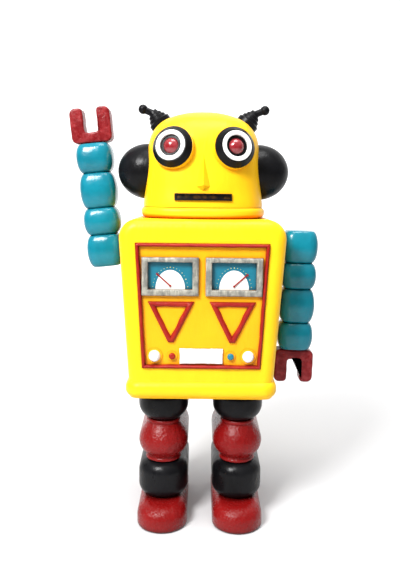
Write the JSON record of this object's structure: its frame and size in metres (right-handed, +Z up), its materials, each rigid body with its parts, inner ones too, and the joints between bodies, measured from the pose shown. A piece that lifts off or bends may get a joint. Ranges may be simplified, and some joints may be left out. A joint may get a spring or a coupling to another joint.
{
  "type": "toy robot",
  "caption": "Standing toy robot with domed head, boxy chest with gauge panel, beaded arms ending in U-shaped claws, and block legs; head, shoulders, wrists and hips turn.",
  "frame": {"origin": "on the ground, midway between the two feet and on the line of the hip axle", "axes": "+Z up, -Y the way the robot faces, +X towards the robot's own left side (its hanging arm)"},
  "size_m": [0.1498, 0.0844, 0.248],
  "materials": {
    "bezel_grey": "silver-grey paint",
    "black": "gloss lacquer",
    "claw_red": "satin lacquer",
    "dial_teal": "matt teal paint",
    "leg_red": "gloss lacquer",
    "lens_red": "glossy red",
    "line_red": "painted line",
    "steel": "plated steel",
    "teal": "satin lacquer",
    "tray_grey": "as moulded",
    "white": "white gloss paint",
    "yellow": "satin lacquer over moulded plastic"
  },
  "bodies": {
    "torso": {"base_tray": "tray_grey", "blank_plate": "white", "chest_frame": "line_red", "chest_panel": "yellow", "gauge_bezel_left": "bezel_grey", "gauge_bezel_right": "bezel_grey", "gauge_dial_left": "dial_teal", "gauge_dial_right": "dial_teal", "gauge_needle_left": "line_red", "gauge_needle_right": "line_red", "gauge_scale_left": "white", "gauge_scale_right": "white", "hip_axle": "steel", "hip_push_nuts": "steel", "neck_bush": "tray_grey", "panel_knob_left": "white", "panel_knob_right": "white", "red_stud": "line_red", "shell_screws": "steel", "shoulder_bushes": "tray_grey", "teal_stud": "teal", "torso_back_shell": "yellow", "torso_front_shell": "yellow", "triangle_trim_left": "line_red", "triangle_trim_right": "line_red"},
    "head": {"antenna_left": "black", "antenna_right": "black", "ear_left": "black", "ear_right": "black", "eye_bezel_left": "black", "eye_bezel_right": "black", "eye_lens_left": "lens_red", "eye_lens_right": "lens_red", "eye_ring_left": "white", "eye_ring_right": "white", "head_shell": "yellow", "mouth_frame": "black", "mouth_insert": "black", "neck_ring": "yellow", "neck_screw": "steel"},
    "arm_left": {"arm_bead_1_left": "teal", "arm_bead_2_left": "teal", "arm_bead_3_left": "teal", "shoulder_axle_left": "tray_grey", "shoulder_block_left": "teal"},
    "arm_right": {"arm_bead_1_right": "teal", "arm_bead_2_right": "teal", "arm_bead_3_right": "teal", "shoulder_axle_right": "tray_grey", "shoulder_block_right": "teal"},
    "hand_left": {"claw_left": "claw_red"},
    "hand_right": {"claw_right": "claw_red"},
    "leg_left": {"boot_left": "leg_red", "hip_block_left": "black", "knee_block_left": "leg_red", "shin_block_left": "black"},
    "leg_right": {"boot_right": "leg_red", "hip_block_right": "black", "knee_block_right": "leg_red", "shin_block_right": "black"}
  },
  "joints": [
    {"name": "head_turn", "type": "hinge", "parent": "torso", "child": "head", "pos_m": [0, 0, 0.1823], "axis": [0, 0, 1], "continuous": true},
    {"name": "shoulder_left", "type": "hinge", "parent": "torso", "child": "arm_left", "pos_m": [0.0465, 0, 0.1641], "axis": [-0.9979, 0, 0.0641], "continuous": true},
    {"name": "wrist_left", "type": "hinge", "parent": "arm_left", "child": "hand_left", "pos_m": [0.0576, 0, 0.10161], "axis": [-0.024, 0, -0.9997], "continuous": true},
    {"name": "hip_left", "type": "hinge", "parent": "torso", "child": "leg_left", "pos_m": [0.0224, 0, 0.083], "axis": [-1, 0, 0], "range_deg": [-15, 15]},
    {"name": "shoulder_right", "type": "hinge", "parent": "torso", "child": "arm_right", "pos_m": [-0.0465, 0, 0.1641], "axis": [-0.9979, 0, -0.0641], "continuous": true},
    {"name": "wrist_right", "type": "hinge", "parent": "arm_right", "child": "hand_right", "pos_m": [-0.06549, 0, 0.22466], "axis": [-0.1041, 0, 0.9946], "continuous": true},
    {"name": "hip_right", "type": "hinge", "parent": "torso", "child": "leg_right", "pos_m": [-0.0224, 0, 0.083], "axis": [-1, 0, 0], "range_deg": [-15, 15]}
  ]
}
